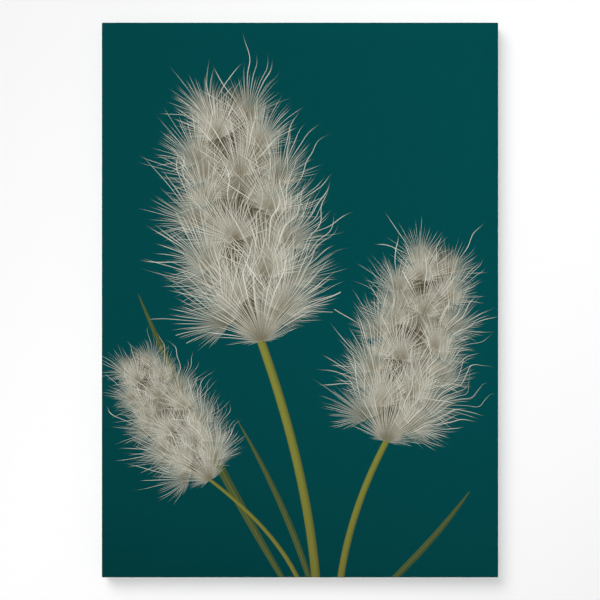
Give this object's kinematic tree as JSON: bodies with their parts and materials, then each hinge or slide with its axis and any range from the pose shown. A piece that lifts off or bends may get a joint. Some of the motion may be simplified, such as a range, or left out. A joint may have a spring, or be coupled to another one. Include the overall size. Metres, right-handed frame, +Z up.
{
  "type": "canvas wall print",
  "caption": "Upright borderless canvas print of soft grass heads on dark teal, wrapped and stapled round a keyed wooden stretcher frame with a sawtooth hanger.",
  "frame": {"origin": "the point on the wall plane level with the middle notch of the sawtooth hanger, on the panel's centre line, where the wall's nail carries the panel", "axes": "+X to the right seen from the front, +Y from the printed face towards the wall, +Z up"},
  "size_m": [0.5, 0.0229, 0.7],
  "materials": {
    "canvas_print": "matte printed cotton canvas, unprinted and off-white on the inside and the hem",
    "pine": "planed, unfinished pine",
    "key_wood": "sawn, unfinished hardwood",
    "staple_steel": "galvanised wire",
    "hanger_steel": "zinc-plated sheet",
    "nail_steel": "zinc-plated",
    "felt": "pressed grey felt"
  },
  "bodies": {
    "root": {"printed_canvas": "canvas_print", "bottom_stretcher_bar": "pine", "right_stretcher_bar": "pine", "top_stretcher_bar": "pine", "left_stretcher_bar": "pine", "bottom_key_a": "key_wood", "bottom_key_b": "key_wood", "right_key_a": "key_wood", "right_key_b": "key_wood", "top_key_a": "key_wood", "top_key_b": "key_wood", "left_key_a": "key_wood", "left_key_b": "key_wood", "sawtooth_hanger": "hanger_steel", "hanger_nail_left": "nail_steel", "hanger_nail_right": "nail_steel", "felt_bumper_left": "felt", "felt_bumper_right": "felt", "bottom_staple_01": "staple_steel", "bottom_staple_02": "staple_steel", "bottom_staple_03": "staple_steel", "bottom_staple_04": "staple_steel", "bottom_staple_05": "staple_steel", "bottom_staple_06": "staple_steel", "bottom_staple_07": "staple_steel", "bottom_staple_08": "staple_steel", "right_staple_01": "staple_steel", "right_staple_02": "staple_steel", "right_staple_03": "staple_steel", "right_staple_04": "staple_steel", "right_staple_05": "staple_steel", "right_staple_06": "staple_steel", "right_staple_07": "staple_steel", "right_staple_08": "staple_steel", "right_staple_09": "staple_steel", "right_staple_10": "staple_steel", "top_staple_01": "staple_steel", "top_staple_02": "staple_steel", "top_staple_03": "staple_steel", "top_staple_04": "staple_steel", "top_staple_05": "staple_steel", "top_staple_06": "staple_steel", "top_staple_07": "staple_steel", "top_staple_08": "staple_steel", "left_staple_01": "staple_steel", "left_staple_02": "staple_steel", "left_staple_03": "staple_steel", "left_staple_04": "staple_steel", "left_staple_05": "staple_steel", "left_staple_06": "staple_steel", "left_staple_07": "staple_steel", "left_staple_08": "staple_steel", "left_staple_09": "staple_steel", "left_staple_10": "staple_steel"}
  },
  "joints": []
}
